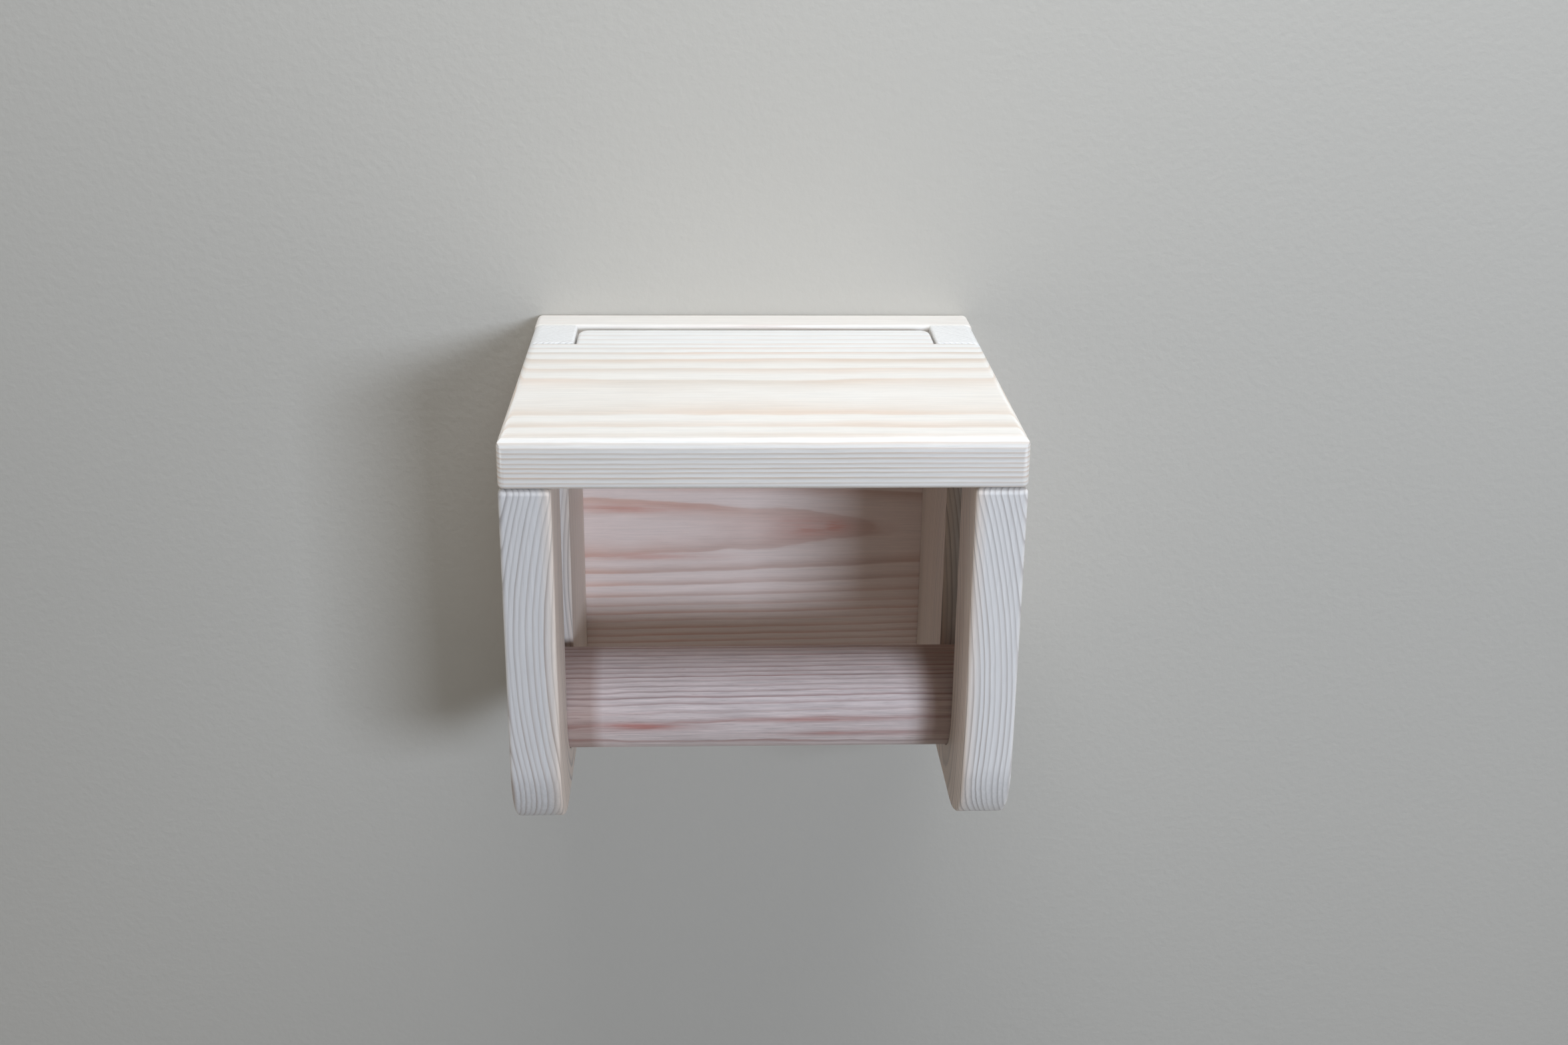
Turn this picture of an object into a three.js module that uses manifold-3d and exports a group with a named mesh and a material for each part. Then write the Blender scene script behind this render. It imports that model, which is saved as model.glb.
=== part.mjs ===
// Wall-hung toilet paper holder in pale washed pine, in millimetres, +Z up.
// The origin is the centre of the back panel's rear face, which rests on the wall.
// +X is to the right of a person facing the holder and +Y points into the wall.
// A roll is threaded on a loose bar that drops into two upright slots. The lid turns
// on two steel pins and closes the slots from above.

import * as THREE from 'three';
import { mergeVertices } from 'three/addons/utils/BufferGeometryUtils.js';
import Module from 'manifold-3d';

const wasm = await Module();
wasm.setup();

// Driving dimensions of the whole holder
const WIDTH = 150;
const DEPTH = 140;
const HEIGHT = 129;
const BOARD = 15;
const SEAM = 0.3;

// Rounded edges and corners of the boards
const SIDE_EDGE_ROUND = 1.4;
const SIDE_CORNER_RADIUS = 1.8;
const BACK_EDGE_ROUND = 1.5;
const BACK_CORNER_RADIUS = 2;
const LID_FRONT_ROUND = 3.8;
const LID_SIDE_ROUND = 3;
const LID_BOTTOM_ROUND = 1.2;
const LID_CORNER_RADIUS = 2.2;
const TONGUE_ROUND = 1.5;
const TONGUE_CORNER_RADIUS = 4;
const FOOT_RADIUS = 25;
const EDGE_STEPS = 4;
const CORNER_STEPS = 5;

// Roll bar and the slots that hold its ends
const BAR_RADIUS = 16;
const BAR_END_ROUND = 1;
const BAR_END_GAP = 0.5;
const SLOT_WIDTH = 33;
const SLOT_DEPTH = 7.5;
const SLOT_CENTRE_FROM_FRONT = 45;
const SLOT_CENTRE_FROM_TOP = 101;
const BAR_REST_GAP = 0.3;

// Hinge of the lid
const HINGE_FROM_WALL = 29.5;
const HINGE_FROM_TOP = 5.5;
const EAR_SWEEP_RADIUS = 9.5;
const EAR_CORNER_RADIUS = 1;
const EAR_INNER_ROUND = 1;
const HINGE_GAP = 0.5;
const TONGUE_SIDE_GAP = 0.6;
const TONGUE_BEHIND_HINGE = 9;
const PIN_RADIUS = 2;
const PIN_CHAMFER = 0.5;
const PIN_LENGTH = 31;
const PIN_RECESS = 0.5;
const PIN_HOLE_RADIUS = 2.4;

// Screws that join the back panel to the side panels
const PANEL_SCREW_HEIGHTS = { top: 42, middle: 0, bottom: -42 };
const PANEL_SCREW_LENGTH = 40;
const PANEL_SCREW_RADIUS = 1.9;
const PANEL_SCREW_HEAD_RADIUS = 4;
const PANEL_SCREW_HEAD_HEIGHT = 3;
const PANEL_SCREW_RIM = 0.4;
const PANEL_SCREW_TAPER = 4;
const PANEL_SCREW_CROSS = { reach: 2.4, depth: 1.8 };

// Keyhole hanger plates let into the back panel
const HANGER_X = 40;
const HANGER_Z = 32;
const HANGER_WIDTH = 16;
const HANGER_HEIGHT = 46;
const HANGER_THICKNESS = 1.5;
const HANGER_RECESS = 3.6;
const HANGER_CORNER_RADIUS = 4;
const KEYHOLE_ENTRY_RADIUS = 4.6;
const KEYHOLE_SLOT_RADIUS = 2.4;
const KEYHOLE_DROP = 4;
const KEYHOLE_RISE = 7;
const HANGER_POCKET_DEPTH = 9.5;
const HANGER_POCKET_RADIUS = 5.6;
const HANGER_SCREW_OFFSET = 18.5;
const HANGER_SCREW_RADIUS = 1.5;
const HANGER_SCREW_HEAD_RADIUS = 2.9;
const HANGER_SCREW_HEAD_HEIGHT = 1.4;
const HANGER_SCREW_LENGTH = 9;
const HANGER_SCREW_TAPER = 2;
const HANGER_SCREW_CROWN = 0.7;
const HANGER_SCREW_CROSS = { reach: 1.6, depth: 0.9 };

// Planes worked out from the dimensions above
const TOP = HEIGHT / 2;
const BOTTOM = -HEIGHT / 2;
const FRONT = -DEPTH;
const SIDE_OUTER = WIDTH / 2;
const SIDE_INNER = SIDE_OUTER - BOARD;
const SIDE_REAR = -BOARD - SEAM;
const LID_UNDERSIDE = TOP - BOARD;
const SIDE_TOP = LID_UNDERSIDE - SEAM;
const HINGE_Y = -HINGE_FROM_WALL;
const HINGE_Z = TOP - HINGE_FROM_TOP;
const SHOULDER_Y = HINGE_Y - EAR_SWEEP_RADIUS - HINGE_GAP;
const SLOT_Y = FRONT + SLOT_CENTRE_FROM_FRONT;
const SLOT_Z = TOP - SLOT_CENTRE_FROM_TOP;
const BAR_Z = SLOT_Z - (SLOT_WIDTH / 2 - BAR_RADIUS) + BAR_REST_GAP;
const SPARE = 2 * BOARD;

// Cutting: how far a cut reaches past the face it opens or into the cut it joins, the least
// distance between two separate corners, and a screw cross's arm as a share of its reach.
const CUT_PAST_FACE = 1;
const SINK_PAST_FACE = 0.01;
const CUT_OVERLAP = 0.1;
const HOLE_BOTTOM_GAP = 3 * SEAM;
const CORNER_TOLERANCE = 1e-4;
const CROSS_ARM_SHARE = 1 / 6;
const ROUND_SEGMENTS = 24;

const SIDES = [
  { name: 'left', sign: -1 },
  { name: 'right', sign: 1 },
];

const pine = (color) => new THREE.MeshStandardMaterial({ color, roughness: 0.6, metalness: 0 });
const steel = () => new THREE.MeshStandardMaterial({ color: 0xb9bbbe, roughness: 0.35, metalness: 1 });

// ---------------------------------------------------------------- solids

function toSolid(geometry) {
  const bare = geometry.clone();
  bare.deleteAttribute('normal');
  bare.deleteAttribute('uv');
  const merged = mergeVertices(bare, CORNER_TOLERANCE);
  const triangles = [];
  for (let i = 0; i < merged.index.count; i += 3) {
    const [a, b, c] = [0, 1, 2].map((k) => merged.index.getX(i + k));
    if (a !== b && b !== c && c !== a) {
      triangles.push(a, b, c);
    }
  }
  return new wasm.Manifold(new wasm.Mesh({
    numProp: 3,
    vertProperties: new Float32Array(merged.attributes.position.array),
    triVerts: new Uint32Array(triangles),
  }));
}

function toGeometry(solid) {
  const mesh = solid.getMesh();
  const geometry = new THREE.BufferGeometry();
  geometry.setAttribute('position', new THREE.BufferAttribute(new Float32Array(mesh.vertProperties), 3));
  geometry.setIndex(new THREE.BufferAttribute(new Uint32Array(mesh.triVerts), 1));
  geometry.computeVertexNormals();
  return geometry;
}

function boxSolid(low, high) {
  const size = high.map((value, i) => value - low[i]);
  const geometry = new THREE.BoxGeometry(...size);
  geometry.translate(...low.map((value, i) => value + size[i] / 2));
  return toSolid(geometry);
}

// A cylinder, or a cone where the end radii differ, between two places on the X or Y axis direction.
function rodSolid(axis, from, to, across, radiusFrom, radiusTo = radiusFrom) {
  const geometry = new THREE.CylinderGeometry(radiusTo, radiusFrom, to - from, ROUND_SEGMENTS);
  const middle = (from + to) / 2;
  if (axis === 'x') {
    geometry.rotateZ(-Math.PI / 2);
    geometry.translate(middle, across[0], across[1]);
  } else {
    geometry.translate(across[0], middle, across[1]);
  }
  return toSolid(geometry);
}

// A closed outline through corners [u, v, radius], each rounded by its own radius.
function roundedOutline(corners) {
  const shape = new THREE.Shape();
  const place = (i) => new THREE.Vector2(...corners[(i + corners.length) % corners.length].slice(0, 2));
  corners.forEach(([, , radius], i) => {
    const corner = place(i);
    const back = place(i - 1).sub(corner).normalize();
    const ahead = place(i + 1).sub(corner).normalize();
    const draw = i === 0 ? 'moveTo' : 'lineTo';
    if (!radius) {
      shape[draw](corner.x, corner.y);
      return;
    }
    const half = Math.acos(back.dot(ahead)) / 2;
    const start = corner.clone().addScaledVector(back, radius / Math.tan(half));
    const end = corner.clone().addScaledVector(ahead, radius / Math.tan(half));
    const centre = back.clone().add(ahead).normalize().multiplyScalar(radius / Math.sin(half)).add(corner);
    const startAngle = Math.atan2(start.y - centre.y, start.x - centre.x);
    const endAngle = Math.atan2(end.y - centre.y, end.x - centre.x);
    shape[draw](start.x, start.y);
    shape.absarc(centre.x, centre.y, radius, startAngle, endAngle, back.cross(ahead) > 0);
  });
  shape.closePath();
  return shape;
}

// A board with rounded edges: the outline extruded from 0 to thickness along local Z.
function boardGeometry(outline, thickness, edgeRound) {
  const geometry = new THREE.ExtrudeGeometry(outline, {
    depth: thickness - 2 * edgeRound,
    bevelEnabled: edgeRound > 0,
    bevelThickness: edgeRound,
    bevelSize: edgeRound,
    bevelOffset: -edgeRound,
    bevelSegments: EDGE_STEPS,
    curveSegments: CORNER_STEPS,
  });
  geometry.translate(0, 0, edgeRound);
  return geometry;
}

// Local (x, y, z) of a board becomes (z, x, y): the outline lies in the YZ plane.
function standAlongX(geometry) {
  geometry.applyMatrix4(new THREE.Matrix4().set(0, 0, 1, 0, 1, 0, 0, 0, 0, 1, 0, 0, 0, 0, 0, 1));
  return geometry;
}

// Local (x, y, z) of a board becomes (x, -z, y): the outline lies in the XZ plane.
function standAlongY(geometry) {
  geometry.applyMatrix4(new THREE.Matrix4().set(1, 0, 0, 0, 0, 0, -1, 0, 0, 1, 0, 0, 0, 0, 0, 1));
  return geometry;
}

// A turned piece from a profile of [radius, distance] pairs, with its axis along +Y.
function turnedSolid(profile) {
  const points = profile.map(([radius, distance]) => new THREE.Vector2(radius, distance));
  return toSolid(new THREE.LatheGeometry(points, ROUND_SEGMENTS));
}

// ---------------------------------------------------------------- wooden pieces

// Upright board with rounded edges, screw holes near its sides and two hanger recesses behind.
function backPanel() {
  const outline = roundedOutline([
    [-SIDE_OUTER, BOTTOM, BACK_CORNER_RADIUS],
    [SIDE_OUTER, BOTTOM, BACK_CORNER_RADIUS],
    [SIDE_OUTER, TOP, BACK_CORNER_RADIUS],
    [-SIDE_OUTER, TOP, BACK_CORNER_RADIUS],
  ]);
  let panel = toSolid(standAlongY(boardGeometry(outline, BOARD, BACK_EDGE_ROUND)));
  for (const { sign } of SIDES) {
    for (const height of Object.values(PANEL_SCREW_HEIGHTS)) {
      const place = [sign * (SIDE_OUTER - BOARD / 2), height];
      panel = panel.subtract(panelScrewHole(place));
    }
    panel = panel.subtract(hangerRecess(sign * HANGER_X));
  }
  return panel;
}

// Clearance for one panel screw: a countersink at the rear face and a plain hole to the screw's tip.
function panelScrewHole(place) {
  const head = PANEL_SCREW_HEAD_RADIUS + SEAM;
  const shank = PANEL_SCREW_RADIUS + SEAM;
  const sinkDepth = PANEL_SCREW_HEAD_HEIGHT + HOLE_BOTTOM_GAP;
  const sink = rodSolid('y', -sinkDepth, SINK_PAST_FACE, place, shank, head + SEAM);
  const hole = rodSolid('y', -PANEL_SCREW_LENGTH - HOLE_BOTTOM_GAP, -sinkDepth / 2, place, shank);
  return sink.add(hole);
}

// Room for a hanger plate, the pocket behind its keyhole and the holes for its two screws.
function hangerRecess(x) {
  const half = HANGER_WIDTH / 2 + SEAM;
  const low = HANGER_Z - HANGER_HEIGHT / 2 - SEAM;
  const high = HANGER_Z + HANGER_HEIGHT / 2 + SEAM;
  const radius = HANGER_CORNER_RADIUS;
  const outline = roundedOutline([
    [x - half, low, radius],
    [x + half, low, radius],
    [x + half, high, radius],
    [x - half, high, radius],
  ]);
  const recess = standAlongY(boardGeometry(outline, HANGER_RECESS + CUT_PAST_FACE, 0));
  recess.translate(0, CUT_PAST_FACE, 0);
  const pocketLow = HANGER_Z - KEYHOLE_DROP;
  const pocketHigh = HANGER_Z + KEYHOLE_RISE;
  const pocketFront = -HANGER_POCKET_DEPTH;
  const pocketRear = -HANGER_RECESS + CUT_OVERLAP;
  let room = toSolid(recess)
    .add(rodSolid('y', pocketFront, pocketRear, [x, pocketLow], HANGER_POCKET_RADIUS))
    .add(rodSolid('y', pocketFront, pocketRear, [x, pocketHigh], HANGER_POCKET_RADIUS))
    .add(boxSolid(
      [x - HANGER_POCKET_RADIUS, pocketFront, pocketLow],
      [x + HANGER_POCKET_RADIUS, pocketRear, pocketHigh],
    ));
  for (const offset of [-HANGER_SCREW_OFFSET, HANGER_SCREW_OFFSET]) {
    const tip = -HANGER_RECESS - HANGER_SCREW_LENGTH;
    room = room.add(rodSolid('y', tip, pocketRear, [x, HANGER_Z + offset], HANGER_SCREW_RADIUS + SEAM));
  }
  return room;
}

// The two X values of a cut that starts and ends at these distances from the middle plane.
function sideSpan(sign, near, far) {
  return [sign * near, sign * far].sort((a, b) => a - b);
}

// Outline of the ear behind the lid, in the YZ plane seen from +X, with its foot in the board.
function earOutline() {
  const shape = new THREE.Shape();
  const foot = SIDE_TOP - BOARD;
  const cornerRise = HINGE_FROM_TOP - EAR_CORNER_RADIUS;
  const cornerReach = Math.sqrt((EAR_SWEEP_RADIUS - EAR_CORNER_RADIUS) ** 2 - cornerRise ** 2);
  const cornerY = HINGE_Y - cornerReach;
  const cornerZ = TOP - EAR_CORNER_RADIUS;
  const meeting = Math.PI - Math.atan2(cornerRise, cornerReach);
  shape.moveTo(SIDE_REAR, foot);
  shape.lineTo(SIDE_REAR, TOP);
  shape.lineTo(cornerY, TOP);
  shape.absarc(cornerY, cornerZ, EAR_CORNER_RADIUS, Math.PI / 2, meeting, false);
  shape.absarc(HINGE_Y, HINGE_Z, EAR_SWEEP_RADIUS, meeting, Math.PI, false);
  shape.lineTo(HINGE_Y - EAR_SWEEP_RADIUS, foot);
  shape.closePath();
  return shape;
}

// Ear from X 0 to the board's thickness. Its outer top edge is rounded like the lid's.
function ear(sign) {
  const section = roundedOutline([
    [0, 0, 0],
    [BOARD, 0, 0],
    [BOARD, TOP, sign > 0 ? LID_SIDE_ROUND : EAR_INNER_ROUND],
    [0, TOP, sign > 0 ? EAR_INNER_ROUND : LID_SIDE_ROUND],
  ]);
  const profile = toSolid(standAlongX(boardGeometry(earOutline(), BOARD, 0)));
  return profile.intersect(toSolid(standAlongY(boardGeometry(section, DEPTH, 0))));
}

// Side board with rounded edges and a flat rear face, from X 0 to its thickness, with its ear.
function sideBoard(sign) {
  const outline = roundedOutline([
    [FRONT, BOTTOM, FOOT_RADIUS],
    [SIDE_REAR + SPARE, BOTTOM, 0],
    [SIDE_REAR + SPARE, SIDE_TOP, 0],
    [FRONT, SIDE_TOP, SIDE_CORNER_RADIUS],
  ]);
  const rounded = toSolid(standAlongX(boardGeometry(outline, BOARD, SIDE_EDGE_ROUND)));
  const beyondRear = boxSolid([-BOARD, SIDE_REAR, BOTTOM - BOARD], [2 * BOARD, SPARE + BOARD, TOP]);
  return rounded.subtract(beyondRear).add(ear(sign));
}

// Side panel with its slot for the bar's end, its hinge pin hole and its screw holes.
function sidePanel(sign) {
  let panel = sideBoard(sign).translate([sign > 0 ? SIDE_INNER : -SIDE_OUTER, 0, 0]);
  const [slotFrom, slotTo] = sideSpan(sign, SIDE_INNER - CUT_PAST_FACE, SIDE_INNER + SLOT_DEPTH);
  const slotRound = rodSolid('x', slotFrom, slotTo, [SLOT_Y, SLOT_Z], SLOT_WIDTH / 2);
  const slotUpper = boxSolid(
    [slotFrom, SLOT_Y - SLOT_WIDTH / 2, SLOT_Z],
    [slotTo, SLOT_Y + SLOT_WIDTH / 2, TOP],
  );
  panel = panel.subtract(slotRound).subtract(slotUpper);
  const [pinFrom, pinTo] = sideSpan(sign, SIDE_INNER - CUT_PAST_FACE, SIDE_OUTER + CUT_PAST_FACE);
  panel = panel.subtract(rodSolid('x', pinFrom, pinTo, [HINGE_Y, HINGE_Z], PIN_HOLE_RADIUS));
  for (const height of Object.values(PANEL_SCREW_HEIGHTS)) {
    panel = panel.subtract(panelScrewHole([sign * (SIDE_OUTER - BOARD / 2), height]));
  }
  return panel;
}

// Lid board: a wide front part with well rounded upper edges and a narrower tongue that reaches
// back between the ears.
function lid() {
  const radius = LID_CORNER_RADIUS;
  const wideOutline = roundedOutline([
    [-SIDE_OUTER, FRONT, radius],
    [SIDE_OUTER, FRONT, radius],
    [SIDE_OUTER, 0, radius],
    [-SIDE_OUTER, 0, radius],
  ]);
  const roundedBelow = boardGeometry(wideOutline, BOARD + SPARE, LID_BOTTOM_ROUND);
  roundedBelow.translate(0, 0, LID_UNDERSIDE);
  const sideSection = roundedOutline([
    [-SIDE_OUTER, 0, 0],
    [SIDE_OUTER, 0, 0],
    [SIDE_OUTER, TOP, LID_SIDE_ROUND],
    [-SIDE_OUTER, TOP, LID_SIDE_ROUND],
  ]);
  const frontSection = roundedOutline([
    [FRONT, 0, 0],
    [0, 0, 0],
    [0, TOP, 0],
    [FRONT, TOP, LID_FRONT_ROUND],
  ]);
  const roundedSides = standAlongY(boardGeometry(sideSection, DEPTH + SPARE, 0));
  const roundedFront = standAlongX(boardGeometry(frontSection, WIDTH + SPARE, 0));
  roundedFront.translate(-(WIDTH + SPARE) / 2, 0, 0);
  const frontPart = toSolid(roundedBelow)
    .intersect(toSolid(roundedSides))
    .intersect(toSolid(roundedFront))
    .subtract(boxSolid([-WIDTH, SHOULDER_Y, 0], [WIDTH, BOARD, HEIGHT]));

  const tongueHalf = SIDE_INNER - TONGUE_SIDE_GAP;
  const tongueRear = HINGE_Y + TONGUE_BEHIND_HINGE;
  const tongueFront = SHOULDER_Y - SPARE;
  const tongueOutline = roundedOutline([
    [-tongueHalf, tongueFront, 0],
    [tongueHalf, tongueFront, 0],
    [tongueHalf, tongueRear, TONGUE_CORNER_RADIUS],
    [-tongueHalf, tongueRear, TONGUE_CORNER_RADIUS],
  ]);
  const tongueBoard = boardGeometry(tongueOutline, BOARD, TONGUE_ROUND);
  tongueBoard.translate(0, 0, LID_UNDERSIDE);
  let board = frontPart.add(toSolid(tongueBoard));
  for (const { sign } of SIDES) {
    const [from, to] = sideSpan(sign, SIDE_OUTER - PIN_RECESS - PIN_LENGTH - HINGE_GAP, SIDE_OUTER);
    board = board.subtract(rodSolid('x', from, to, [HINGE_Y, HINGE_Z], PIN_HOLE_RADIUS));
  }
  return board;
}

// Plain round bar with softened ends, lying along X.
function rollBar() {
  const half = SIDE_INNER + SLOT_DEPTH - BAR_END_GAP;
  const corner = BAR_END_ROUND;
  const softened = BAR_RADIUS - corner;
  const geometry = new THREE.LatheGeometry([
    new THREE.Vector2(0, -half),
    new THREE.Vector2(softened, -half),
    new THREE.Vector2(softened + corner * Math.SQRT1_2, -half + corner * (1 - Math.SQRT1_2)),
    new THREE.Vector2(BAR_RADIUS, -half + corner),
    new THREE.Vector2(BAR_RADIUS, half - corner),
    new THREE.Vector2(softened + corner * Math.SQRT1_2, half - corner * (1 - Math.SQRT1_2)),
    new THREE.Vector2(softened, half),
    new THREE.Vector2(0, half),
  ], 2 * ROUND_SEGMENTS);
  geometry.rotateZ(-Math.PI / 2);
  geometry.translate(0, SLOT_Y, BAR_Z);
  return toSolid(geometry);
}

// ---------------------------------------------------------------- metal pieces

// Steel hinge pin pushed in through the ear, with chamfered ends, lying along X.
function hingePin(sign) {
  const geometry = new THREE.LatheGeometry([
    new THREE.Vector2(0, 0),
    new THREE.Vector2(PIN_RADIUS - PIN_CHAMFER, 0),
    new THREE.Vector2(PIN_RADIUS, PIN_CHAMFER),
    new THREE.Vector2(PIN_RADIUS, PIN_LENGTH - PIN_CHAMFER),
    new THREE.Vector2(PIN_RADIUS - PIN_CHAMFER, PIN_LENGTH),
    new THREE.Vector2(0, PIN_LENGTH),
  ], ROUND_SEGMENTS);
  geometry.rotateZ(-Math.PI / 2);
  const outerEnd = SIDE_OUTER - PIN_RECESS;
  geometry.translate(sign > 0 ? outerEnd - PIN_LENGTH : -outerEnd, HINGE_Y, HINGE_Z);
  return toSolid(geometry);
}

// Cross recess cut into a screw head whose flat face looks to +Y.
function crossRecess({ reach, depth }, rear) {
  const half = reach * CROSS_ARM_SHARE;
  return boxSolid([-reach, rear - depth, -half], [reach, rear + depth, half])
    .add(boxSolid([-half, rear - depth, -reach], [half, rear + depth, reach]));
}

// Countersunk screw that enters from the back panel's rear face and points to the front.
function panelScrew(place) {
  const rear = -SEAM;
  const neck = rear - PANEL_SCREW_HEAD_HEIGHT;
  const tip = -PANEL_SCREW_LENGTH;
  return turnedSolid([
    [0, tip],
    [PANEL_SCREW_RADIUS, tip + PANEL_SCREW_TAPER],
    [PANEL_SCREW_RADIUS, neck],
    [PANEL_SCREW_HEAD_RADIUS, rear - PANEL_SCREW_RIM],
    [PANEL_SCREW_HEAD_RADIUS, rear],
    [0, rear],
  ]).subtract(crossRecess(PANEL_SCREW_CROSS, rear)).translate([place[0], 0, place[1]]);
}

// Keyhole plate: a rounded strip with a round entry, a narrow slot above it and two screw holes.
function hangerPlate(x) {
  const half = HANGER_WIDTH / 2;
  const outline = roundedOutline([
    [-half, -HANGER_HEIGHT / 2, HANGER_CORNER_RADIUS],
    [half, -HANGER_HEIGHT / 2, HANGER_CORNER_RADIUS],
    [half, HANGER_HEIGHT / 2, HANGER_CORNER_RADIUS],
    [-half, HANGER_HEIGHT / 2, HANGER_CORNER_RADIUS],
  ]);
  const up = Math.PI / 2;
  const entryAngle = Math.asin(KEYHOLE_SLOT_RADIUS / KEYHOLE_ENTRY_RADIUS);
  const keyhole = new THREE.Path();
  keyhole.absarc(0, -KEYHOLE_DROP, KEYHOLE_ENTRY_RADIUS, up + entryAngle, up - entryAngle, false);
  keyhole.absarc(0, KEYHOLE_RISE, KEYHOLE_SLOT_RADIUS, 0, Math.PI, false);
  keyhole.closePath();
  outline.holes.push(keyhole);
  for (const offset of [-HANGER_SCREW_OFFSET, HANGER_SCREW_OFFSET]) {
    const hole = new THREE.Path();
    hole.absarc(0, offset, HANGER_SCREW_RADIUS + SEAM, 0, 2 * Math.PI, false);
    outline.holes.push(hole);
  }
  const plate = standAlongY(boardGeometry(outline, HANGER_THICKNESS, 0));
  plate.translate(x, -HANGER_RECESS + SEAM + HANGER_THICKNESS, HANGER_Z);
  return toSolid(plate);
}

// Round-headed screw that holds a hanger plate in its recess.
function hangerScrew(x, z) {
  const seat = -HANGER_RECESS + 2 * SEAM + HANGER_THICKNESS;
  const head = HANGER_SCREW_HEAD_HEIGHT;
  const tip = seat - HANGER_SCREW_LENGTH;
  return turnedSolid([
    [0, tip],
    [HANGER_SCREW_RADIUS, tip + HANGER_SCREW_TAPER],
    [HANGER_SCREW_RADIUS, seat],
    [HANGER_SCREW_HEAD_RADIUS, seat],
    [HANGER_SCREW_HEAD_RADIUS, seat + head / 2],
    [HANGER_SCREW_HEAD_RADIUS * HANGER_SCREW_CROWN, seat + head],
    [0, seat + head],
  ]).subtract(crossRecess(HANGER_SCREW_CROSS, seat + head)).translate([x, 0, z]);
}

// ---------------------------------------------------------------- assembly

const group = new THREE.Group();

function addPiece(name, solid, material) {
  const mesh = new THREE.Mesh(toGeometry(solid), material);
  mesh.name = name;
  group.add(mesh);
}

addPiece('back_panel', backPanel(), pine(0xe2d5c8));
addPiece('lid', lid(), pine(0xf1ead9));
addPiece('roll_bar', rollBar(), pine(0xdccbc4));
for (const { name, sign } of SIDES) {
  addPiece(`side_panel_${name}`, sidePanel(sign), pine(0xe8e2da));
  addPiece(`hinge_pin_${name}`, hingePin(sign), steel());
  for (const [level, height] of Object.entries(PANEL_SCREW_HEIGHTS)) {
    const place = [sign * (SIDE_OUTER - BOARD / 2), height];
    addPiece(`panel_screw_${name}_${level}`, panelScrew(place), steel());
  }
  addPiece(`hanger_plate_${name}`, hangerPlate(sign * HANGER_X), steel());
  for (const [level, offset] of [['upper', HANGER_SCREW_OFFSET], ['lower', -HANGER_SCREW_OFFSET]]) {
    addPiece(`hanger_screw_${name}_${level}`, hangerScrew(sign * HANGER_X, HANGER_Z + offset), steel());
  }
}

export default group;
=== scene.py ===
"""Wall-hung toilet paper holder in pale washed pine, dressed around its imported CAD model.

Every CAD piece keeps its own mesh. Modifiers soften its cut edges and smooth its rounded
ones, and each board gets a solid pine material: growth rings around a pith line that runs
along the board, so faces, edges and end grain of one board agree with each other.
"""

import math

import bpy
from mathutils import Matrix, Vector


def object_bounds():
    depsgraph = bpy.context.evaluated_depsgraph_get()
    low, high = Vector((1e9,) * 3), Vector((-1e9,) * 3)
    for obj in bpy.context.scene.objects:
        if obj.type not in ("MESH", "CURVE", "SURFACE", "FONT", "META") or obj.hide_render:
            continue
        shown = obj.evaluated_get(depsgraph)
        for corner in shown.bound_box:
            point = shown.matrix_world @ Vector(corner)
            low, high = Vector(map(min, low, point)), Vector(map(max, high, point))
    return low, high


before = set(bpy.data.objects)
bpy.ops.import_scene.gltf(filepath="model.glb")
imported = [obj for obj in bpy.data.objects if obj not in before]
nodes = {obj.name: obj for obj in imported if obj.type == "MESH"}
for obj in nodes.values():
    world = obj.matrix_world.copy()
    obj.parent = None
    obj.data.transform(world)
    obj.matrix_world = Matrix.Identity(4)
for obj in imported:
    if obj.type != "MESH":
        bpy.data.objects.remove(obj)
cad_low, cad_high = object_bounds()

MM = 0.001


# ------------------------------------------------------------------ node graphs


# a colour Mix node's own sockets, among those for its other data types
MIX_FACTOR, MIX_FIRST, MIX_SECOND, MIX_RESULT = 0, 6, 7, 2


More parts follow.
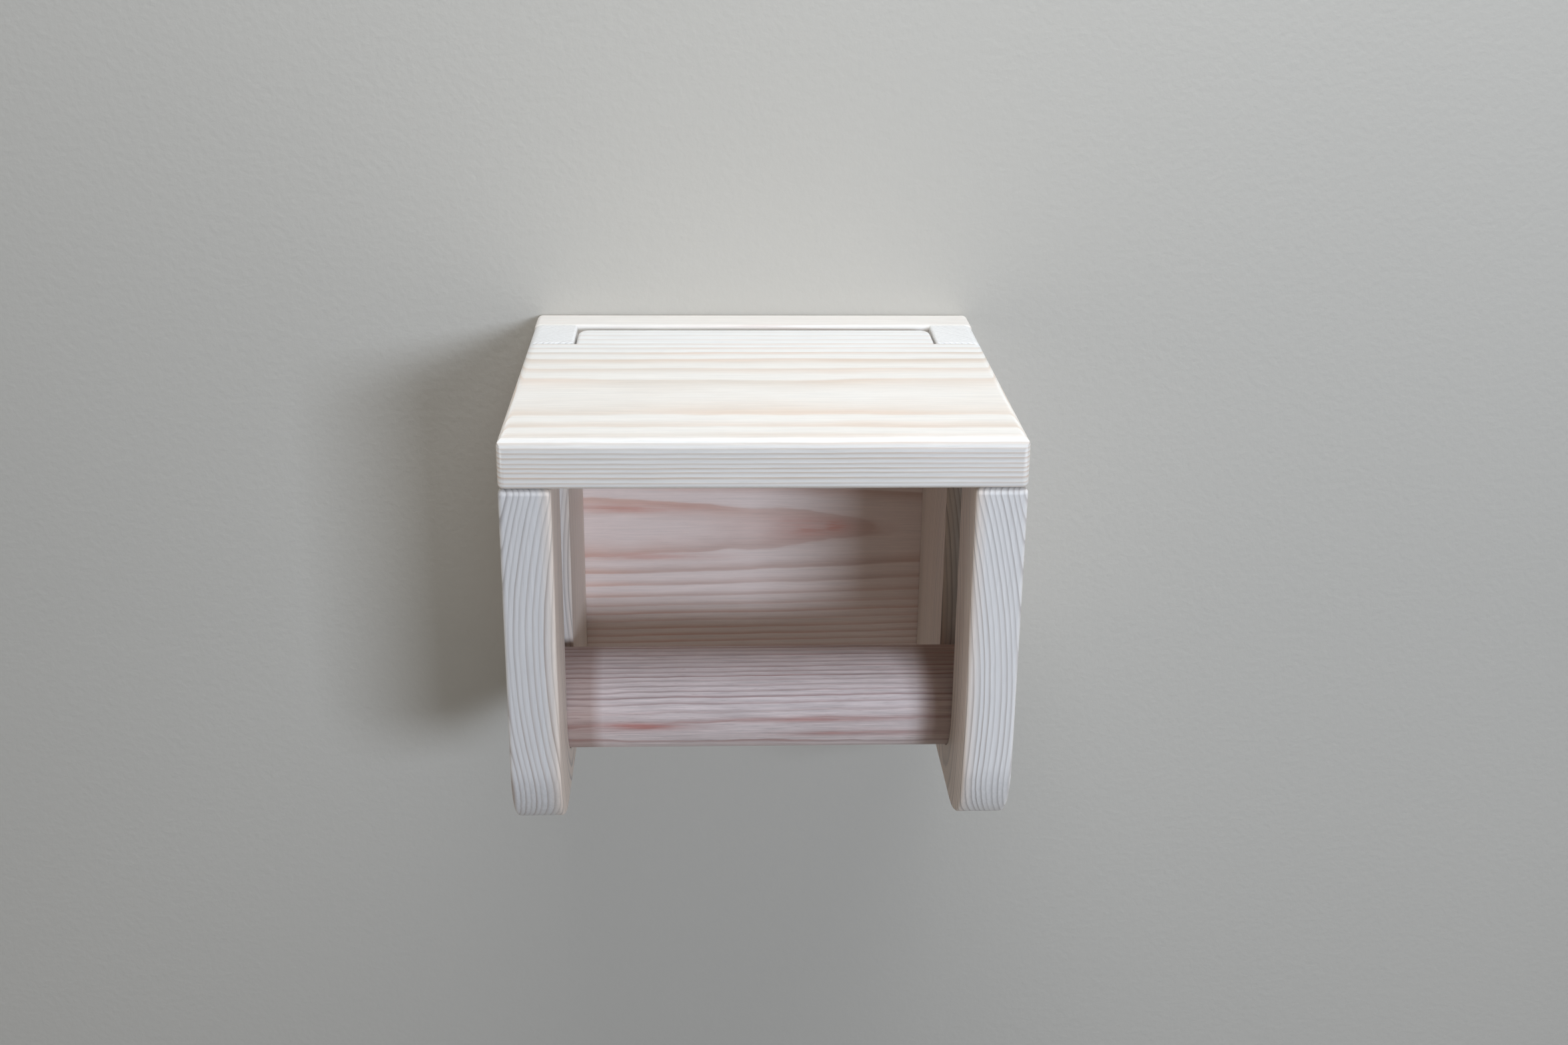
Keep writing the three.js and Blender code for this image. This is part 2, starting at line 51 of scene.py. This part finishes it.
class Graph:
    """A material's node tree with short calls for the nodes used here."""

    def __init__(self, name):
        self.material = bpy.data.materials.new(name)
        self.material.use_nodes = True
        self.tree = self.material.node_tree
        self.tree.nodes.clear()

    def node(self, kind, inputs=(), **settings):
        made = self.tree.nodes.new("ShaderNode" + kind)
        for key, value in settings.items():
            setattr(made, key, value)
        for key, value in dict(inputs).items():
            self.feed(made.inputs[key], value)
        return made

    def feed(self, socket, value):
        if isinstance(value, bpy.types.NodeSocket):
            self.tree.links.new(value, socket)
        else:
            socket.default_value = value

    def math(self, operation, *values):
        return self.node("Math", enumerate(values), operation=operation).outputs[0]

    def mix(self, factor, first, second, blend="MIX"):
        inputs = {MIX_FACTOR: factor, MIX_FIRST: first, MIX_SECOND: second}
        made = self.node("Mix", inputs, data_type="RGBA", blend_type=blend)
        return made.outputs[MIX_RESULT]

    def tint(self, colour, tone):
        """The colour made lighter or darker by a number."""
        grey = self.node("CombineColor", {0: tone, 1: tone, 2: tone}).outputs[0]
        return self.mix(1.0, colour, grey, "MULTIPLY")

    def place(self, x, y=0.0, z=0.0):
        return self.node("CombineXYZ", {0: x, 1: y, 2: z}).outputs[0]

    def noise(self, place, scale=1.0, detail=2.0, roughness=0.5):
        inputs = {"Vector": place, "Scale": scale, "Detail": detail, "Roughness": roughness}
        return self.node("TexNoise", inputs).outputs["Fac"]

    def swing(self, noise, amount):
        """Noise as a number that swings to about plus and minus the amount."""
        return self.math("MULTIPLY", self.math("SUBTRACT", noise, 0.5), 2 * amount)

    def ramp(self, factor, stops):
        """A colour ramp through stops of a place and a colour or a shade of grey."""
        made = self.node("ValToRGB", {"Fac": factor})
        ramp = made.color_ramp
        while len(ramp.elements) < len(stops):
            ramp.elements.new(1.0)
        for element, (position, value) in zip(ramp.elements, stops):
            element.position = position
            element.color = value if isinstance(value, tuple) else rgb(value, value, value)
        return made.outputs["Color"]

    def range(self, value, low, high, to_low=0.0, to_high=1.0):
        """The value carried from one range to another and held within it."""
        inputs = {0: value, 1: low, 2: high, 3: to_low, 4: to_high}
        return self.node("MapRange", inputs, clamp=True).outputs[0]

    def bump(self, height, strength, distance):
        inputs = {"Height": height, "Strength": strength, "Distance": distance}
        return self.node("Bump", inputs).outputs[0]

    def finish(self, inputs):
        shader = self.node("BsdfPrincipled", inputs)
        output = self.node("OutputMaterial")
        self.tree.links.new(shader.outputs[0], output.inputs["Surface"])
        return self.material


def rgb(red, green, blue):
    return (red, green, blue, 1.0)


# ------------------------------------------------------------------ pine


class GrainNoise:
    """Noise drawn out along the grain.

    run and cross say how fast it changes per millimetre along and across the grain, and
    window gives the two values of it that count as none and all.
    """

    def __init__(self, run, cross, offset, detail=2.0, roughness=0.5, window=(0.0, 1.0)):
        self.run = run
        self.cross = cross
        self.offset = offset
        self.detail = detail
        self.roughness = roughness
        self.window = window


WARP = GrainNoise(0.016, 0.05, 0.0, detail=1.5)
RIPPLE = GrainNoise(0.055, 0.12, 4.0)
PATCH = GrainNoise(0.02, 0.06, 5.0, window=(0.3, 0.7))
FIBRE = GrainNoise(0.07, 1.9, 0.0, detail=4.0, roughness=0.65, window=(0.3, 0.72))
STREAK = GrainNoise(0.035, 0.9, 7.0, detail=3.0, roughness=0.6, window=(0.35, 0.65))
FLECK = GrainNoise(0.22, 4.5, 2.0, detail=1.0, window=(0.64, 0.78))
DRIFT = GrainNoise(0.012, 0.03, 9.0, detail=1.0, window=(0.35, 0.65))
BROKEN = GrainNoise(0.05, 0.5, 13.0, detail=3.0, window=(0.3, 0.6))

# the pith line's wander: its changes per millimetre, its offset from the seed and its noise row
WANDER_SIDE = (0.013, 0.0, 3.7)
WANDER_DEPTH = (0.009, 11.0, 8.1)
# how fast the years' own widths change from year to year, and that noise's row
PACE_RUN = 0.31
PACE_ROW = 1.3

PATCH_WEAKEST = 0.65
BROKEN_WEAKEST = 0.45
END_BAND_LOSS = 0.5

# one year as places from 0 to 1 and how dark each is; the rise starts earlier in soft wood
YEAR_FALL = [(0.0, 0.35), (0.07, 0.0)]
YEAR_PEAK = [(0.88, 1.0), (0.97, 0.9), (1.0, 0.35)]
RISE_START, RISE_START_DARK, RISE_START_SOFT = 0.5, 0.05, 0.3
RISE_END, RISE_END_DARK, RISE_END_SOFT = 0.76, 0.6, 0.2

# summer wood and fibres stand a little proud, and flecks are sunk
SUMMER_RELIEF = 0.5
FIBRE_RELIEF = 0.5
FLECK_RELIEF = -0.4
RELIEF_STRENGTH = 0.55
RELIEF_HEIGHT = 0.09 * MM
ROUGHNESS = 0.44
FIBRE_ROUGHNESS = 0.16
BAND_ROUGHNESS = -0.06
PINE_SPECULAR = 0.4


class Wood:
    """How a board was cut from its log and finished. Lengths are in millimetres."""

    wander = 0.3  # how far the pith line swings
    lean = 0.0  # the pith line's slope across the board
    slope = 0.0  # how fast the rings run out along the board
    bow = 0.0  # how strongly the rings curve outwards from bow_centre
    warp = 0.3  # slow unevenness of the rings
    ripple = 0.15  # quick unevenness of the rings
    anchor = 0.0  # the distance from the pith where the count of years starts
    tighten = 1.0  # the power by which years crowd together further out
    shift = 0.0  # years added to the count
    uneven = 0.6  # how much the years differ in width, in years
    weakest = 0.4  # strength of the palest summer band
    soft = 0.0  # how early in the year the darkening starts
    fibre = 0.08  # how strongly the fibres show
    flecks = 0.15  # how strongly the dark flecks show
    stains = ()  # each is a middle (along, across), its two reaches and its strength
    stain_colour = None
    sapwood_and_hollow_shade = None  # a change of the pale colour along one axis, sapwood on the lid and partly painted warm shade of the hollow on the back and side boards: the axis, where it starts, where it is whole, and the share of band lost
    outer = None  # the colour beyond that change: the sapwood's on the lid, the plain colour outside the hollow on the back and side boards
    end = None  # where the pale upper end starts, where it is whole, and its colour
    end_shade = None  # painted shade at both ends: distance from the middle where it starts, where it is whole, and the colour it darkens towards

    def __init__(self, along, across, **own):
        """along and across name the object axes of the grain and across the wide face.

        own has pith, the pith line's place (across, through), spacing, one year's growth,
        the colours early, late and warm, a seed, and what differs from the values above.
        """
        self.along = along
        self.across = across
        for key, value in own.items():
            setattr(self, key, value)


class BoardGraph(Graph):
    """A board's node tree, which knows each point's place along and across the grain."""

    def __init__(self, name, wood):
        super().__init__(name)
        metres = self.node("TexCoord").outputs["Object"]
        scaled = self.node("VectorMath", {0: metres, "Scale": 1 / MM}, operation="SCALE").outputs[0]
        self.axes = dict(zip("xyz", self.node("SeparateXYZ", {0: scaled}).outputs))
        through = next(axis for axis in "xyz" if axis not in (wood.along, wood.across))
        self.length = self.axes[wood.along]
        self.side = self.axes[wood.across]
        self.depth = self.axes[through]
        self.seed = wood.seed

    def grain(self, kind):
        place = self.place(
            self.math("MULTIPLY", self.length, kind.run),
            self.math("MULTIPLY", self.side, kind.cross),
            self.math("MULTIPLY_ADD", self.depth, kind.cross, self.seed + kind.offset),
        )
        return self.noise(place, detail=kind.detail, roughness=kind.roughness)

    def share(self, kind, none=0.0, whole=1.0):
        """Grain noise carried from its window to the range from none to whole."""
        return self.range(self.grain(kind), *kind.window, none, whole)

    def wander(self, kind, amount):
        """A slow swing from side to side along the board."""
        run, offset, row = kind
        place = self.place(self.math("MULTIPLY", self.length, run), self.seed + offset, row)
        return self.swing(self.noise(place), amount)


def pith_distance(g, wood):
    """Distance from the board's pith line, in millimetres, with the tree's own irregularities."""
    wandering = g.math("ADD", g.wander(WANDER_SIDE, wood.wander), wood.pith[0])
    pith_side = g.math("MULTIPLY_ADD", g.length, wood.lean, wandering)
    pith_depth = g.math("ADD", g.wander(WANDER_DEPTH, wood.wander), wood.pith[1])
    side_gap = g.math("SUBTRACT", g.side, pith_side)
    depth_gap = g.math("SUBTRACT", g.depth, pith_depth)
    squares = g.math("MULTIPLY_ADD", side_gap, side_gap, g.math("MULTIPLY", depth_gap, depth_gap))
    distance = g.math("SQRT", squares)
    distance = g.math("ADD", distance, g.swing(g.grain(WARP), wood.warp))
    distance = g.math("ADD", distance, g.swing(g.grain(RIPPLE), wood.ripple))
    distance = g.math("MULTIPLY_ADD", g.length, wood.slope, distance)
    distance = g.math("SUBTRACT", distance, wood.anchor)
    if wood.bow:
        from_centre = g.math("SUBTRACT", g.length, wood.bow_centre)
        squared = g.math("MULTIPLY", from_centre, from_centre)
        distance = g.math("MULTIPLY_ADD", squared, wood.bow, distance)
    return distance


def years_of_growth(g, wood):
    """The count of years out from the pith, which differ in width."""
    years = g.math("DIVIDE", pith_distance(g, wood), wood.spacing)
    if wood.tighten != 1.0:
        years = g.math("POWER", g.math("MAXIMUM", years, 0.0), wood.tighten)
    years = g.math("ADD", years, wood.shift)
    pace = g.noise(g.place(g.math("MULTIPLY", years, PACE_RUN), wood.seed, PACE_ROW))
    return g.math("ADD", years, g.swing(pace, wood.uneven))


def summer_bands(g, wood):
    """Summer wood as an even mask, and as one whose bands differ in strength.

    Each year darkens slowly and then returns sharply to pale spring wood.
    """
    years = years_of_growth(g, wood)
    rise = [
        (RISE_START - RISE_START_SOFT * wood.soft, RISE_START_DARK),
        (RISE_END - RISE_END_SOFT * wood.soft, RISE_END_DARK),
    ]
    summer = g.ramp(g.math("FRACT", years), YEAR_FALL + rise + YEAR_PEAK)
    year = g.math("ADD", g.math("FLOOR", years), wood.seed)
    strength = g.node("TexWhiteNoise", {"W": year}, noise_dimensions="1D").outputs[0]
    strength = g.range(strength, 0.0, 1.0, wood.weakest, 1.0)
    uneven = g.math("MULTIPLY", summer, strength)
    return summer, g.math("MULTIPLY", uneven, g.share(PATCH, PATCH_WEAKEST))


def stain_strength(g, stain):
    """How strongly a soft oval stain colours a point, from 0 to its own most at its middle."""
    middle_along, middle_side, reach_along, reach_side, most = stain
    run = g.math("DIVIDE", g.math("SUBTRACT", g.length, middle_along), reach_along)
    rise = g.math("DIVIDE", g.math("SUBTRACT", g.side, middle_side), reach_side)
    spread = g.math("ADD", g.math("MULTIPLY", run, run), g.math("MULTIPLY", rise, rise))
    return g.math("MULTIPLY", g.math("POWER", math.e, g.math("MULTIPLY", spread, -1.0)), most)


def thinned(g, band, share, loss):
    """The band, which loses the given part of its strength where the share is whole."""
    return g.math("MULTIPLY", band, g.math("MULTIPLY_ADD", share, -loss, 1.0))


def board_colour(g, wood, band):
    """Pale spring wood under summer bands, and the bands as stains and sapwood leave them; on the back
    and side boards the colour inside the hollow is partly painted warm shade.
    """
    summer_colour = g.mix(g.share(DRIFT), wood.late, wood.warm)
    if wood.stains:
        heat = 0.0
        for stain in wood.stains:
            heat = g.math("MAXIMUM", heat, stain_strength(g, stain))
        heat = g.math("MULTIPLY", heat, g.share(BROKEN, BROKEN_WEAKEST))
        summer_colour = g.mix(heat, summer_colour, wood.stain_colour)
        band = g.math("MAXIMUM", band, heat)
    pale = wood.early
    # inside the hollow the back and side boards keep their warmer colour, partly the wood's own and
    # partly painted warm shade, and turn to the plain outer colour beyond it
    if wood.sapwood_and_hollow_shade:
        way, start, whole, band_loss = wood.sapwood_and_hollow_shade
        outside = g.range(g.axes[way], start, whole)
        pale = g.mix(outside, pale, wood.outer)
        band = thinned(g, band, outside, band_loss)
    if wood.end:
        start, whole, end_colour = wood.end
        near_end = g.range(g.length, start, whole)
        pale = g.mix(near_end, pale, end_colour)
        band = thinned(g, band, near_end, END_BAND_LOSS)
    colour = g.mix(band, pale, summer_colour)
    # both ends of the bar, inside the side panels' slots, darkened towards the given colour as painted
    # shade
    if wood.end_shade:
        start, whole, end_shade_colour = wood.end_shade
        shaded_end = g.range(g.math("ABSOLUTE", g.length), start, whole)
        colour = g.mix(shaded_end, colour, g.mix(1.0, colour, end_shade_colour, "MULTIPLY"))
    return colour, band


def pine(name, wood):
    """Solid pine, coloured by each point's place in its board, with fibres and flecks."""
    g = BoardGraph(name, wood)
    summer, band = summer_bands(g, wood)
    colour, band = board_colour(g, wood, band)

    fibre = g.grain(FIBRE)
    fleck = g.share(FLECK)
    tone = g.range(fibre, *FIBRE.window, 1.0 - wood.fibre, 1.0 + wood.fibre / 2)
    tone = g.math("MULTIPLY", tone, g.share(STREAK, 1.0 - wood.fibre / 2))
    colour = g.tint(colour, tone)
    colour = g.mix(g.math("MULTIPLY", fleck, wood.flecks), colour, wood.late)

    relief = g.math("MULTIPLY_ADD", summer, SUMMER_RELIEF, g.math("MULTIPLY", fibre, FIBRE_RELIEF))
    relief = g.math("MULTIPLY_ADD", fleck, FLECK_RELIEF, relief)
    rough = g.math("MULTIPLY_ADD", fibre, FIBRE_ROUGHNESS, ROUGHNESS)
    rough = g.math("MULTIPLY_ADD", band, BAND_ROUGHNESS, rough)
    bump = g.bump(relief, RELIEF_STRENGTH, RELIEF_HEIGHT)
    return g.finish(
        {"Base Color": colour, "Roughness": rough, "Normal": bump, "Specular IOR Level": PINE_SPECULAR}
    )


def steel(name):
    """Zinc-plated steel with faint brushing and dull patches."""
    g = Graph(name)
    place = g.node("TexCoord").outputs["Object"]
    brushed = g.node("Mapping", {"Vector": place, "Scale": (9000.0, 900.0, 1400.0)}).outputs[0]
    brush = g.noise(brushed, detail=3.0)
    cloud = g.noise(place, scale=260.0, detail=3.0)
    colour = g.ramp(cloud, [(0.3, rgb(0.50, 0.51, 0.52)), (0.7, rgb(0.66, 0.66, 0.65))])
    rough = g.math("MULTIPLY_ADD", brush, 0.22, g.range(cloud, 0.3, 0.7, 0.2, 0.36))
    bump = g.bump(brush, 0.25, 0.02 * MM)
    return g.finish({"Base Color": colour, "Metallic": 1.0, "Roughness": rough, "Normal": bump})


WASHED = rgb(0.83, 0.78, 0.715)
# the salmon and tan below colour the back and side boards inside the hollow under the lid: partly the
# wood's own colour, partly painted warm shade
SALMON_WITH_HOLLOW_SHADE = rgb(0.87, 0.72, 0.65)
TAN_WITH_HOLLOW_SHADE = rgb(0.80, 0.68, 0.58)
WASHED_ROSE = rgb(0.80, 0.665, 0.62)
WASHED_WHITE = rgb(0.84, 0.82, 0.79)
SIDE_LATE = rgb(0.36, 0.33, 0.315)
SIDE_WARM = rgb(0.43, 0.33, 0.27)

lid_wood = Wood(
    "x", "y", pith=(-99.0, -170.0), spacing=1.4, seed=2.0,
    early=WASHED, late=rgb(0.60, 0.465, 0.345), warm=rgb(0.71, 0.47, 0.31),
    wander=0.25, warp=0.28, ripple=0.14, soft=0.3,
    sapwood_and_hollow_shade=("y", -62.0, -42.0, 0.5), outer=rgb(0.84, 0.82, 0.785),
)
left_wood = Wood(
    "z", "y", pith=(-95.0, -5.0), spacing=1.42, seed=14.0,
    early=TAN_WITH_HOLLOW_SHADE, late=SIDE_LATE, warm=SIDE_WARM,
    bow=0.0022, bow_centre=-2.0, warp=0.45, wander=0.6, ripple=0.22,
    # the inner face keeps the warmer colour, partly painted warm shade of the hollow; the front and
    # outer faces take the outer colour, darker on this board than on the right one
    sapwood_and_hollow_shade=("x", -60.5, -64.0, 0.0), outer=rgb(0.72, 0.68, 0.645),
    end=(54.0, 59.0, WASHED_WHITE),
)
right_wood = Wood(
    "z", "y", pith=(-100.0, 5.0), spacing=1.42, seed=27.0,
    early=TAN_WITH_HOLLOW_SHADE, late=SIDE_LATE, warm=SIDE_WARM,
    bow=0.0018, bow_centre=-20.0, warp=0.45, wander=0.6, ripple=0.3,
    # the inner face keeps the warmer colour, partly painted warm shade of the hollow; the front and
    # outer faces take the outer colour
    sapwood_and_hollow_shade=("x", 60.5, 64.0, 0.0), outer=rgb(0.80, 0.755, 0.71),
    end=(54.0, 59.0, WASHED_WHITE),
)
back_wood = Wood(
    "x", "z", pith=(-9.6, 55.0), spacing=1.35, seed=33.0,
    early=SALMON_WITH_HOLLOW_SHADE, late=rgb(0.61, 0.42, 0.35), warm=rgb(0.71, 0.40, 0.29),
    slope=0.0075, shift=0.83, wander=0.16, warp=0.2, ripple=0.17,
    uneven=0.15, weakest=0.45, soft=0.15,
    stain_colour=rgb(0.66, 0.25, 0.18),
    stains=(
        (18.0, -9.5, 19.0, 5.0, 0.85), (29.0, -9.0, 8.0, 3.2, 1.0),
        (-45.0, -2.0, 26.0, 2.2, 0.75), (-38.0, -20.5, 30.0, 1.8, 0.6),
    ),
    # below the lid the salmon is partly painted warm shade of the hollow; the top strip above it takes
    # the pale outer colour
    sapwood_and_hollow_shade=("z", 30.0, 50.0, 0.75), outer=WASHED,
)
bar_wood = Wood(
    "x", "z", pith=(-17.0, -38.0), spacing=10.65, seed=41.0,
    early=WASHED_ROSE, late=rgb(0.31, 0.15, 0.13), warm=rgb(0.50, 0.18, 0.13),
    tighten=2.3, anchor=40.0, shift=0.65, lean=-0.012, slope=0.006,
    wander=0.35, warp=0.45, ripple=0.34, uneven=0.5, weakest=0.25,
    # the last setting below darkens both ends of the bar as painted shade where they sit between the
    # side panels
    fibre=0.22, flecks=0.3, end_shade=(49.0, 53.0, rgb(0.70, 0.62, 0.58)),
    stain_colour=rgb(0.58, 0.24, 0.20),
    stains=(
        (-38.0, -39.6, 18.0, 1.9, 1.0), (14.0, -37.4, 32.0, 1.0, 0.7), (32.0, -42.8, 26.0, 1.2, 0.8),
    ),
)

BOARDS = {
    "lid": pine("lid_pine", lid_wood),
    "side_panel_left": pine("left_side_pine", left_wood),
    "side_panel_right": pine("right_side_pine", right_wood),
    "back_panel": pine("back_pine", back_wood),
    "roll_bar": pine("bar_pine", bar_wood),
}
plated_steel = steel("plated_steel")


# ------------------------------------------------------------------ surfaces


WELD_DISTANCE = 0.002 * MM
FLAT_ANGLE = math.radians(0.3)
SMOOTH_ANGLE = math.radians(38)
SOFTEN_ANGLE = math.radians(50)
SOFTEN_SEGMENTS = 3
BOARD_EDGE = 0.5 * MM
METAL_EDGE = 0.12 * MM


def modifier_group(name):
    """A geometry node group with one geometry in and one out, and the nodes for both."""
    group = bpy.data.node_groups.new(name, "GeometryNodeTree")
    for way in ("INPUT", "OUTPUT"):
        group.interface.new_socket("Geometry", in_out=way, socket_type="NodeSocketGeometry")
    return group, group.nodes.new("NodeGroupInput"), group.nodes.new("NodeGroupOutput")


def welded_surface(name):
    """A modifier that joins the CAD mesh's loose triangles and drops its flat normals."""
    group, start, end = modifier_group(name)
    drop = group.nodes.new("GeometryNodeRemoveAttribute")
    drop.inputs["Name"].default_value = "custom_normal"
    join = group.nodes.new("GeometryNodeMergeByDistance")
    join.inputs["Distance"].default_value = WELD_DISTANCE
    group.links.new(start.outputs[0], drop.inputs["Geometry"])
    group.links.new(drop.outputs["Geometry"], join.inputs["Geometry"])
    group.links.new(join.outputs["Geometry"], end.inputs[0])
    return group


def smoothed_surface(name, crease):
    """A modifier that shades smooth, except over edges that turn by more than the crease."""
    group, start, end = modifier_group(name)
    faces = group.nodes.new("GeometryNodeSetShadeSmooth")
    faces.domain = "FACE"
    angle = group.nodes.new("GeometryNodeInputMeshEdgeAngle")
    gentle = group.nodes.new("FunctionNodeCompare")
    gentle.operation = "LESS_THAN"
    gentle.inputs[1].default_value = crease
    edges = group.nodes.new("GeometryNodeSetShadeSmooth")
    edges.domain = "EDGE"
    group.links.new(start.outputs[0], faces.inputs["Geometry"])
    group.links.new(faces.outputs[0], edges.inputs["Geometry"])
    group.links.new(angle.outputs["Unsigned Angle"], gentle.inputs[0])
    group.links.new(gentle.outputs[0], edges.inputs["Shade Smooth"])
    group.links.new(edges.outputs[0], end.inputs[0])
    return group


WELD = welded_surface("weld_cad_triangles")
SMOOTH = smoothed_surface("smooth_by_angle", SMOOTH_ANGLE)


def refine(piece, material, softened):
    """Welds, flattens, softens and smooths a CAD piece by modifiers, and gives it its material."""
    piece.data.materials.clear()
    piece.data.materials.append(material)
    piece.modifiers.new("weld", "NODES").node_group = WELD
    flatten = piece.modifiers.new("flatten", "DECIMATE")
    flatten.decimate_type = "DISSOLVE"
    flatten.angle_limit = FLAT_ANGLE
    bevel = piece.modifiers.new("soften", "BEVEL")
    bevel.width = softened
    bevel.segments = SOFTEN_SEGMENTS
    bevel.limit_method = "ANGLE"
    bevel.angle_limit = SOFTEN_ANGLE
    piece.modifiers.new("smooth", "NODES").node_group = SMOOTH
    weighted = piece.modifiers.new("weighted", "WEIGHTED_NORMAL")
    weighted.keep_sharp = True


for name, piece in nodes.items():
    if name in BOARDS:
        refine(piece, BOARDS[name], BOARD_EDGE)
    else:
        refine(piece, plated_steel, METAL_EDGE)


# ------------------------------------------------------------------ stage


def plaster(name, colour, speckle):
    """Pale matt plaster with a fine orange-peel surface."""
    g = Graph(name)
    place = g.node("TexCoord").outputs["Object"]
    fine = g.noise(place, scale=420.0, detail=3.0)
    broad = g.noise(place, scale=3.0, detail=2.0)
    shade = g.range(broad, 0.3, 0.7, 1.0 - speckle, 1.0 + speckle)
    tint = g.tint(colour, shade)
    bump = g.bump(fine, 0.35, 0.4 * MM)
    return g.finish({"Base Color": tint, "Roughness": 0.85, "Normal": bump, "Specular IOR Level": 0.2})


def seen_from_front(material):
    """Makes a stage wall clear from behind, so that the holder's back can be looked at."""
    tree = material.node_tree
    output = next(n for n in tree.nodes if n.type == "OUTPUT_MATERIAL")
    shader = output.inputs["Surface"].links[0].from_socket
    clear = tree.nodes.new("ShaderNodeBsdfTransparent")
    facing = tree.nodes.new("ShaderNodeNewGeometry")
    choose = tree.nodes.new("ShaderNodeMixShader")
    tree.links.new(facing.outputs["Backfacing"], choose.inputs[0])
    tree.links.new(shader, choose.inputs[1])
    tree.links.new(clear.outputs[0], choose.inputs[2])
    tree.links.new(choose.outputs[0], output.inputs["Surface"])


def stage_mesh(name, corners, faces, material):
    mesh = bpy.data.meshes.new(name)
    mesh.from_pydata(corners, [], faces)
    mesh.materials.append(material)
    obj = bpy.data.objects.new(name, mesh)
    bpy.context.scene.collection.objects.link(obj)
    return obj


WALL_GAP = 0.4 * MM
WALL_HALF = 1.6
WALL_TOP = 1.4
FLOOR = -0.9
FLOOR_REACH = 3.0
HOLE_INSET = 2 * MM


def upright_corners(half_width, y, low, high):
    """The corners of an upright rectangle centred on the holder."""
    across = ((-half_width, low), (half_width, low), (half_width, high), (-half_width, high))
    return [(x, y, z) for x, z in across]


def wall():
    """A plain wall behind the holder, open where the back panel covers it."""
    y = cad_high.y + WALL_GAP
    outer = upright_corners(WALL_HALF, y, FLOOR, WALL_TOP)
    hole_low = cad_low.z + HOLE_INSET
    inner = upright_corners(cad_high.x - HOLE_INSET, y, hole_low, cad_high.z - HOLE_INSET)
    faces = [(i, (i + 1) % 4, 4 + (i + 1) % 4, 4 + i) for i in range(4)]
    material = plaster("wall_plaster", rgb(0.54, 0.505, 0.445), 0.015)
    seen_from_front(material)
    return stage_mesh("wall", outer + inner, faces, material)


def floor():
    """A floor well below the holder, for when it is looked at from above."""
    reach = FLOOR_REACH
    square = ((-reach, -reach), (reach, -reach), (reach, reach), (-reach, reach))
    corners = [(x, y, FLOOR) for x, y in square]
    material = plaster("floor_plaster", rgb(0.62, 0.61, 0.59), 0.01)
    return stage_mesh("floor", corners, [(0, 1, 2, 3)], material)


wall()
floor()


# ------------------------------------------------------------------ light and camera


AIM = (cad_low + cad_high) / 2


def area_light(name, place, size, power, colour=(1.0, 1.0, 1.0)):
    """A rectangle of light aimed at the holder's middle, unseen by the camera."""
    data = bpy.data.lights.new(name, "AREA")
    data.shape = "RECTANGLE"
    data.size, data.size_y = size
    data.energy = power
    data.color = colour
    light = bpy.data.objects.new(name, data)
    light.visible_camera = False
    light.location = place
    light.rotation_euler = (AIM - Vector(place)).to_track_quat("-Z", "Y").to_euler()
    bpy.context.scene.collection.objects.link(light)


area_light("window", (0.371, -1.117, 0.229), size=(0.31, 0.17), power=6.2, colour=(0.86, 1.0, 1.22))
area_light("overhead", (0.12, -0.22, 0.76), size=(0.6, 0.36), power=5.4, colour=(0.93, 1.0, 1.08))
area_light("left_fill", (-1.8, -0.14, 0.1), size=(0.5, 0.5), power=8.0)
area_light("right_fill", (1.8, -0.15, 0.1), size=(0.8, 0.8), power=7.0)
area_light("rear_fill", (0.5, 1.6, 0.8), size=(1.4, 1.2), power=14.0)

WORLD_COLOUR = rgb(1.0, 0.915, 0.82)
WORLD_STRENGTH = 0.12
world = bpy.data.worlds.new("studio")
world.use_nodes = True
background = world.node_tree.nodes["Background"]
background.inputs["Color"].default_value = WORLD_COLOUR
background.inputs["Strength"].default_value = WORLD_STRENGTH
bpy.context.scene.world = world
bpy.context.scene.view_settings.view_transform = "Standard"

CAMERA_FROM_FRONT_EDGE = Vector((-0.01555, -0.49126, 0.15982))
CAMERA_YAW = math.radians(2.462)
CAMERA_PITCH = math.radians(20.603)
CAMERA_ROLL = math.radians(0.649)
CAMERA_LENS = 42.52
SENSOR_WIDTH = 36.0
NEAR_CLIP = 0.01


def camera():
    """The viewpoint, measured from the middle of the lid's front top edge."""
    data = bpy.data.cameras.new("camera")
    data.sensor_width = SENSOR_WIDTH
    data.lens = CAMERA_LENS
    data.clip_start = NEAR_CLIP
    obj = bpy.data.objects.new("camera", data)
    front_edge = Vector((0.0, cad_low.y, cad_high.z))
    turn = (
        Matrix.Rotation(-CAMERA_YAW, 4, "Z")
        @ Matrix.Rotation(math.pi / 2 - CAMERA_PITCH, 4, "X")
        @ Matrix.Rotation(CAMERA_ROLL, 4, "Z")
    )
    obj.matrix_world = Matrix.Translation(front_edge + CAMERA_FROM_FRONT_EDGE) @ turn
    bpy.context.scene.collection.objects.link(obj)
    bpy.context.scene.camera = obj


camera()
